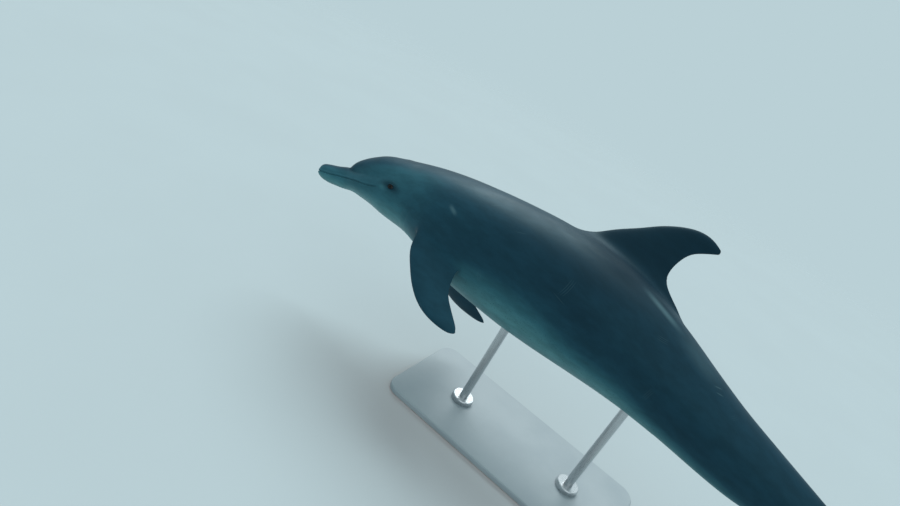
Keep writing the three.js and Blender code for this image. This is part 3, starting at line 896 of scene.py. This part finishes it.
def markings(rows, fin):
    """Pale is 0 on the back and 1 on the belly. Dark is 1 where a dark patch is darkest, and also
    carries the painted shade under the dorsal fin.
    """
    station, across, height = rows.T
    angle = np.degrees(np.abs(angle_of(rows)))
    body = 1 - fin
    on_side = np.abs(across) > FACE_HALF
    on_flipper = 1 - smooth_step(930, 1000, station)
    u, v = from_eye_middle(station, height)

    under = smooth_step(-12, pale_reach(station), angle - pale_edge(station))
    face = 0.47 * (1 - smooth_step(330, 960, station)) * smooth_step(20, 60, angle)
    tail = 0.05 * smooth_step(1300, 1900, station)
    pale = body * np.clip(0.05 + face + tail + (1 - face) * under, 0, 1)
    pale += fin * (0.05 + 0.22 * on_flipper)
    pale += 0.22 * hump(u, -34, 15) * hump(v, -18, 9) * on_side  # by the corner of the mouth

    patch = 0.8 * np.exp(-np.abs((u + 2) / 44) ** 3 - (v / 16) ** 2) * on_side
    lids = (1 - smooth_step(1.0, 1.35, np.hypot(u / 14, v / 9))) * on_side
    # Painted shadow of the dorsal fin, on the upper side of the back below it.
    fin_shadow = 0.7 * hump(station, 1235, 190) * (1 - smooth_step(30, 88, angle)) * body
    fins = (0.45 - 0.35 * on_flipper) * fin
    dark = np.maximum.reduce([patch, lids, fin_shadow, fins])
    return np.clip(pale, 0, 1), np.clip(dark, 0, 1)


SKIN_NODES = [
    "beak_upper", "jaw_lower", "head", "neck", "trunk_front", "trunk_rear",
    "tail_stock_front", "tail_stock_rear", "dorsal_fin", "flipper_left", "flipper_right",
    "fluke_left", "fluke_right",
]


def make_skin():
    mesh = subdivided(build_cage())
    rows = read(mesh.vertices, "co", 3)
    fin = read(mesh.attributes["fin"].data, "value", 1)[:, 0]
    rows += read(mesh.vertex_normals, "vector", 3) * creases(rows, fin)[:, None]
    pale, dark = markings(rows, fin)
    store(mesh, "pale", pale)
    store(mesh, "dark", dark)
    store(mesh, "place", rows * MM)
    mesh.vertices.foreach_set("co", in_place(rows).ravel())
    mesh.name = "skin"
    face_outward(mesh)
    mesh.shade_smooth()
    mesh.update()
    skin = link("skin", mesh)
    mesh.materials.append(skin_material())
    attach(skin, "root")
    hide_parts(*SKIN_NODES)


# ---- Eyeballs ----

EYEBALL_GAP = 0.15
CORNEA_BULGE = 0.35


def make_eyeball(name, side):
    """A slightly domed ball: the front bulges a little, as a cornea does."""
    centre, axes = eye_frame(side)
    work = bmesh.new()
    bmesh.ops.create_uvsphere(work, u_segments=64, v_segments=40, radius=1)
    rows = np.array([v.co for v in work.verts])
    radius = EYE_RADIUS - EYEBALL_GAP + CORNEA_BULGE * smooth_step(0.8, 1, rows[:, 2:])
    local = rows * radius
    for vertex, place in zip(work.verts, in_place(centre + local @ axes)):
        vertex.co = place
    # A known fault: the face normals are still those from before the move, so the left
    # ball's faces come out pointing inward.
    bmesh.ops.recalc_face_normals(work, faces=work.faces)
    mesh = bpy.data.meshes.new(name)
    work.to_mesh(mesh)
    work.free()
    store(mesh, "place", local * MM)
    mesh.shade_smooth()
    ball = link(name, mesh)
    mesh.materials.append(eye_material())
    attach(ball, "root")
    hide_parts("eye_left" if side > 0 else "eye_right")


# ---- Materials ----


def colour(red, green, blue):
    """Linear RGBA of an sRGB colour given in 0 to 255."""
    channels = [c / 255 for c in (red, green, blue)]
    linear = [c / 12.92 if c <= 0.04045 else ((c + 0.055) / 1.055) ** 2.4 for c in channels]
    return (*linear, 1.0)


class Paint:
    """Shorthand for a node material with one Principled shader."""

    def __init__(self, name, **sockets):
        self.material = bpy.data.materials.new(name)
        self.material.use_nodes = True
        self.tree = self.material.node_tree
        self.shader = self.tree.nodes["Principled BSDF"]
        for socket, value in sockets.items():
            self.shader.inputs[socket.replace("_", " ")].default_value = value

    def node(self, kind, feeds=None, **settings):
        node = self.tree.nodes.new("ShaderNode" + kind)
        for name, value in settings.items():
            setattr(node, name, value)
        for socket, value in (feeds or {}).items():
            self.feed(node.inputs[socket], value)
        return node

    def feed(self, socket, value):
        if isinstance(value, bpy.types.NodeSocket):
            self.tree.links.new(value, socket)
        else:
            socket.default_value = value

    def set(self, name, value):
        self.feed(self.shader.inputs[name], value)

    def math(self, operation, a, b=0.0, clamp=False):
        return self.node("Math", {0: a, 1: b}, operation=operation, use_clamp=clamp).outputs[0]

    def product(self, first, *others):
        for value in others:
            first = self.math("MULTIPLY", first, value)
        return first

    def length(self, x, y):
        squares = self.math("ADD", self.product(x, x), self.product(y, y))
        return self.math("SQRT", squares)

    def between(self, value, low, high, out_low=0.0, out_high=1.0):
        """Eases from out_low where value is low to out_high where it is high."""
        feeds = {"Value": value, "From Min": low, "From Max": high,
                 "To Min": out_low, "To Max": out_high}
        return self.node("MapRange", feeds, interpolation_type="SMOOTHSTEP").outputs[0]

    def fade(self, value, low, high):
        """1 where value is low, easing to 0 where it is high."""
        return self.between(value, low, high, 1.0, 0.0)

    def mix(self, share, a, b, blend_type="MIX"):
        node = self.node("Mix", data_type="RGBA", blend_type=blend_type)
        for socket, value in zip((0, 6, 7), (share, a, b)):  # 6 and 7 are the colours
            self.feed(node.inputs[socket], value)
        return node.outputs[2]

    def noise(self, vector, scale, detail=4.0, roughness=0.55):
        feeds = {"Vector": vector, "Scale": scale, "Detail": detail, "Roughness": roughness}
        return self.node("TexNoise", feeds).outputs[0]

    def cells(self, vector, scale):
        """Outputs of a cell pattern, and three numbers that chance gives each cell."""
        cells = self.node("TexVoronoi", {"Vector": vector, "Scale": scale}).outputs
        return cells, self.node("SeparateColor", {0: cells["Color"]}).outputs

    def attribute(self, name, output="Fac"):
        return self.node("Attribute", attribute_name=name).outputs[output]

    def stretched(self, vector, scale):
        return self.node("Mapping", {"Vector": vector, "Scale": scale}).outputs[0]

    def axes(self, vector):
        return self.node("SeparateXYZ", {"Vector": vector}).outputs

    def ramp(self, share, stops):
        node = self.node("ValToRGB", {"Fac": share})
        elements = node.color_ramp.elements
        while len(elements) < len(stops):
            elements.new(0.5)
        for element, (position, tone) in zip(elements, stops):
            element.position = position
            element.color = tone
        return node.outputs[0]

    def bump(self, height, distance, strength, normal=None):
        feeds = {"Height": height, "Distance": distance, "Strength": strength}
        if normal is not None:
            feeds["Normal"] = normal
        return self.node("Bump", feeds).outputs[0]


SKIN_BACK = colour(18, 43, 57)
SKIN_FLANK = colour(27, 61, 75)
SKIN_LOW = colour(50, 95, 105)
SKIN_BELLY = colour(80, 128, 133)
# The darkest skin, also used for the painted shade under the dorsal fin.
DEEP_SKIN_AND_SHADE = colour(6, 22, 35)
# Pale tone of healed scars, also used for painted highlights on the tail stock.
HEALED_SKIN_AND_HIGHLIGHT = colour(98, 128, 134)
FLECKS = [(95.0, 0.24, 0.5), (170.0, 0.28, 0.4)]  # cells per metre, size in a cell, strength
# Cells per metre, gap between scars, their length, share of the cells marked, strength.
RAKES = [(5.0, 0.008, 0.09, 0.4, 0.16), (8.5, 0.006, 0.05, 0.3, 0.13)]
RAKE_HALF_WIDTH = 0.0014
SCARS_AND_HIGHLIGHTS = [
    # station, height, length, direction in degrees, half width, strength: all on the left
    (646, -8, 64, -24, 12.0, 0.38),
    # These two are painted highlights on the upper tail stock behind the dorsal fin, not scars.
    (1412, 173, 230, -9, 15.0, 0.42), (1600, 132, 260, -12, 42.0, 0.13),
    (1696, 106, 34, 20, 3.0, 0.28), (1712, 92, 34, 14, 2.6, 0.28),
    (900, 60, 52, 24, 1.8, 0.14), (1150, -40, 80, -8, 1.8, 0.12), (760, 96, 44, 40, 1.8, 0.12),
]


def skin_material():
    paint = Paint("dolphin_skin", IOR=1.3, Specular_Tint=(0.4, 0.88, 1.0, 1.0))
    place = paint.attribute("place", "Vector")
    pale, dark = paint.attribute("pale"), paint.attribute("dark")
    streaky = paint.stretched(place, (0.35, 1.0, 1.0))
    clouds = paint.noise(streaky, 7.0, detail=5.0, roughness=0.6)
    mottle = paint.noise(streaky, 34.0, detail=5.0, roughness=0.65)
    wander = paint.product(paint.math("SUBTRACT", clouds, 0.5), 0.28)
    tone = paint.ramp(paint.math("ADD", pale, wander, clamp=True), [
        (0.0, SKIN_BACK), (0.34, SKIN_FLANK), (0.66, SKIN_LOW), (1.0, SKIN_BELLY)])
    # Darker patches at the eyes and on the fins, and the painted shade under the dorsal fin.
    patch = paint.product(dark, paint.between(mottle, 0.2, 0.7, 0.75, 1.0))
    tone = paint.mix(patch, tone, DEEP_SKIN_AND_SHADE)
    shade = paint.between(mottle, 0.3, 0.7, 0.86, 1.14)
    grey = paint.node("CombineColor", {0: shade, 1: shade, 2: shade}).outputs[0]
    tone = paint.mix(1.0, tone, grey, "MULTIPLY")
    tone = speckled(paint, tone, place, pale)
    tone = raked(paint, tone, place, dark)
    # Pale scars, and painted highlights on the tail stock.
    paint.set("Base Color", scarred_and_highlighted(paint, tone, place))
    rough = paint.between(paint.noise(streaky, 18.0), 0.3, 0.7, 0.4, 0.5)
    paint.set("Roughness", paint.math("ADD", rough, paint.product(dark, 0.35)))
    fine = paint.noise(place, 420.0, detail=3.0)
    ripple = paint.noise(paint.stretched(place, (1.0, 0.25, 0.25)), 160.0, detail=2.0)
    paint.set("Normal", paint.bump(fine, 0.0002, 0.35, paint.bump(ripple, 0.0005, 0.3)))
    return paint.material


def speckled(paint, tone, place, pale):
    """Dark flecks on the belly and lower flanks, each fleck present or not by chance."""
    station = paint.axes(place)[0]
    on_belly = paint.product(paint.between(pale, 0.35, 0.8), paint.between(station, 0.56, 0.8))
    for scale, size, strength in FLECKS:
        cells, chance = paint.cells(place, scale)
        fleck = paint.fade(cells["Distance"], size * 0.55, size)
        chosen = paint.between(chance[0], 0.45, 0.5)
        tone = paint.mix(paint.product(fleck, on_belly, chosen, strength), tone, SKIN_FLANK)
    return tone


def raked(paint, tone, place, dark):
    """Scattered sets of fine parallel scars, such as other dolphins' teeth leave."""
    on_body = paint.fade(dark, 0.1, 0.4)
    for scale, gap, length, share_marked, strength in RAKES:
        cells, chance = paint.cells(place, scale)
        from_centre = paint.node("VectorMath", {0: place, 1: cells["Position"]},
                                 operation="SUBTRACT").outputs[0]
        turn = paint.product(chance[0], 2 * math.pi)
        feeds = {"Vector": from_centre, "Axis": (0, 1, 0), "Angle": turn}
        along, _, off = paint.axes(paint.node("VectorRotate", feeds).outputs[0])
        off = paint.math("ADD", off, paint.product(along, along, 3.0))  # slightly bowed
        line = paint.fade(paint.math("PINGPONG", off, gap / 2), 0.0, RAKE_HALF_WIDTH)
        beside = paint.fade(paint.math("ABSOLUTE", off), 1.4 * gap, 2.1 * gap)
        ends = paint.fade(paint.math("ABSOLUTE", along), 0.15 * length, 0.5 * length)
        near = paint.fade(cells["Distance"], 0.34, 0.46)
        marked = paint.math("LESS_THAN", chance[1], share_marked)
        share = paint.product(marked, strength, line, beside, ends, near, on_body)
        tone = paint.mix(share, tone, HEALED_SKIN_AND_HIGHLIGHT)
    return tone


def scarred_and_highlighted(paint, tone, place):
    """Healed scars, paler than the skin round them, and painted highlights on the upper tail stock
    behind the dorsal fin.
    """
    station, across, height = paint.axes(place)
    left = paint.math("GREATER_THAN", across, 0.0)
    for at, up, length, direction, width, strength in SCARS_AND_HIGHLIGHTS:
        c, s = math.cos(math.radians(direction)), math.sin(math.radians(direction))
        x = paint.math("SUBTRACT", station, at * MM)
        y = paint.math("SUBTRACT", height, up * MM)
        along = paint.math("ADD", paint.product(x, c), paint.product(y, s))
        off = paint.math("SUBTRACT", paint.product(y, c), paint.product(x, s))
        ends = paint.fade(paint.math("ABSOLUTE", along), 0.05 * length * MM, 0.5 * length * MM)
        beside = paint.fade(paint.math("ABSOLUTE", off), 0.0, width * MM)
        tone = paint.mix(paint.product(ends, beside, strength, left), tone, HEALED_SKIN_AND_HIGHLIGHT)
    return tone


def eye_material():
    """A brown iris with a pupil that is wider than it is high, in a dark grey ball."""
    paint = Paint("dolphin_eye", Roughness=0.05, IOR=1.36, Specular_IOR_Level=0.25)
    place = paint.attribute("place", "Vector")
    x, y, _ = paint.axes(place)
    fibres = paint.noise(place, 900.0)
    iris = paint.mix(paint.between(fibres, 0.35, 0.65), colour(22, 17, 14), colour(40, 31, 24))
    white = paint.mix(paint.between(paint.noise(place, 300.0), 0.4, 0.6),
                      colour(34, 37, 40), colour(52, 54, 55))
    tone = paint.mix(paint.between(paint.length(x, y), 0.0094, 0.0112), iris, white)
    pupil = paint.fade(paint.length(paint.product(x, 0.72), y), 0.0040, 0.0047)
    paint.set("Base Color", paint.mix(pupil, tone, colour(3, 4, 6)))
    return paint.material


def powder_coat():
    paint = Paint("stand_powder_coat")
    place = paint.node("TexCoord").outputs["Object"]
    grain = paint.noise(place, 900.0, detail=3.0)
    smudge = paint.noise(place, 6.0)
    tone = paint.mix(paint.between(smudge, 0.3, 0.7), colour(146, 157, 162), colour(156, 166, 170))
    paint.set("Base Color", tone)
    paint.set("Roughness", paint.between(smudge, 0.3, 0.7, 0.46, 0.6))
    paint.set("Normal", paint.bump(grain, 0.0003, 0.6))
    return paint.material


def brushed_steel():
    paint = Paint("stand_brushed_steel", Metallic=1.0)
    place = paint.node("TexCoord").outputs["Object"]
    lines = paint.noise(paint.stretched(place, (1.0, 1.0, 0.02)), 1400.0, detail=3.0)
    paint.set("Base Color", paint.mix(lines, colour(176, 180, 183), colour(205, 208, 210)))
    paint.set("Roughness", paint.between(lines, 0.3, 0.7, 0.24, 0.4))
    paint.set("Normal", paint.bump(lines, 0.0001, 0.3))
    return paint.material


def finish_stand():
    coat, steel = powder_coat(), brushed_steel()
    for name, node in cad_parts.items():
        if name.startswith("stand_"):
            node.data.materials.clear()
            node.data.materials.append(coat if name == "stand_base" else steel)


# ---- Stage, light and camera ----

FLOOR_RADIUS = 12.0
FLOOR_FADE = (5.0, 11.0)
WORLD_TONE = colour(186, 208, 214)
FLOOR_SHARE = 0.7  # the floor's paint, as a share of the world's tone
FLOOR_CLOUDS = (0.99, 1.01)  # the faint patches in it
# Direction toward each light, its strength, spread in degrees and tone.
LIGHTS = {
    "key": ((0.32, -0.49, 0.81), 2.5, 40, (0.97, 1.0, 1.0)),
    "fill": ((-0.6, 0.7, 0.9), 0.35, 60, (1.0, 1.0, 1.0)),
}


def floor_glow():
    """What the floor must add to the light it returns to look just like the world."""
    world = np.array(WORLD_TONE[:3])
    received = world.copy()
    for toward, strength, _, tone in LIGHTS.values():
        received += Vector(toward).normalized().z * strength / math.pi * np.array(tone)
    return np.maximum(world - world * FLOOR_SHARE * received, 0)


def make_floor():
    work = bmesh.new()
    bmesh.ops.create_circle(work, cap_ends=True, radius=FLOOR_RADIUS, segments=96)
    mesh = bpy.data.meshes.new("floor")
    work.to_mesh(mesh)
    work.free()
    floor = link("floor", mesh)
    paint = Paint("floor_paint", Roughness=0.9, Specular_IOR_Level=0.1, Emission_Strength=1.0)
    place = paint.node("TexCoord").outputs["Object"]
    cloudy = paint.between(paint.noise(place, 1.3), 0.3, 0.7)
    dark, light = ((*(c * FLOOR_SHARE * k for c in WORLD_TONE[:3]), 1.0) for k in FLOOR_CLOUDS)
    paint.set("Base Color", paint.mix(cloudy, dark, light))
    paint.set("Emission Color", (*floor_glow(), 1.0))
    distance = paint.node("VectorMath", {0: place}, operation="LENGTH").outputs["Value"]
    clear = paint.node("BsdfTransparent").outputs[0]
    faded = paint.node("MixShader", {0: paint.between(distance, *FLOOR_FADE),
                                     1: paint.shader.outputs[0], 2: clear})
    paint.feed(paint.tree.nodes["Material Output"].inputs["Surface"], faded.outputs[0])
    mesh.materials.append(paint.material)


def make_world():
    world = bpy.data.worlds.new("studio")
    world.use_nodes = True
    world.node_tree.nodes["Background"].inputs["Color"].default_value = WORLD_TONE
    bpy.context.scene.world = world


def make_lights():
    for name, (toward, strength, spread, tone) in LIGHTS.items():
        light = bpy.data.lights.new(name, "SUN")
        light.energy = strength
        light.angle = math.radians(spread)
        light.color = tone
        link(name, light).rotation_euler = Vector(toward).to_track_quat("Z", "Y").to_euler()


CAMERA_FROM_ANCHOR = (-0.4450, 2.0553, 0.8089)  # metres, from the spine at ANCHOR
CAMERA_FORWARD = (0.32018, -0.85911, -0.39928)
CAMERA_UP = (0.56906, -0.16255, 0.80607)
CAMERA_LENS, SENSOR = 24.0, 36.0


def make_camera():
    forward, up = Vector(CAMERA_FORWARD).normalized(), Vector(CAMERA_UP)
    right = forward.cross(up).normalized()
    turn = Matrix((right, right.cross(forward), -forward)).transposed().to_4x4()
    anchor = Vector((BASE_STATION - ANCHOR, 0, SWIM_HEIGHT)) * MM
    camera = bpy.data.cameras.new("camera")
    camera.lens, camera.sensor_width = CAMERA_LENS, SENSOR
    holder = link("camera", camera)
    holder.matrix_world = Matrix.Translation(anchor + Vector(CAMERA_FROM_ANCHOR)) @ turn
    bpy.context.scene.camera = holder


make_camera()
make_skin()
make_eyeball("eyeball_left", 1)
make_eyeball("eyeball_right", -1)
finish_stand()
make_floor()
make_world()
make_lights()

bpy.context.scene.view_settings.view_transform = "Standard"
bpy.context.view_layer.update()
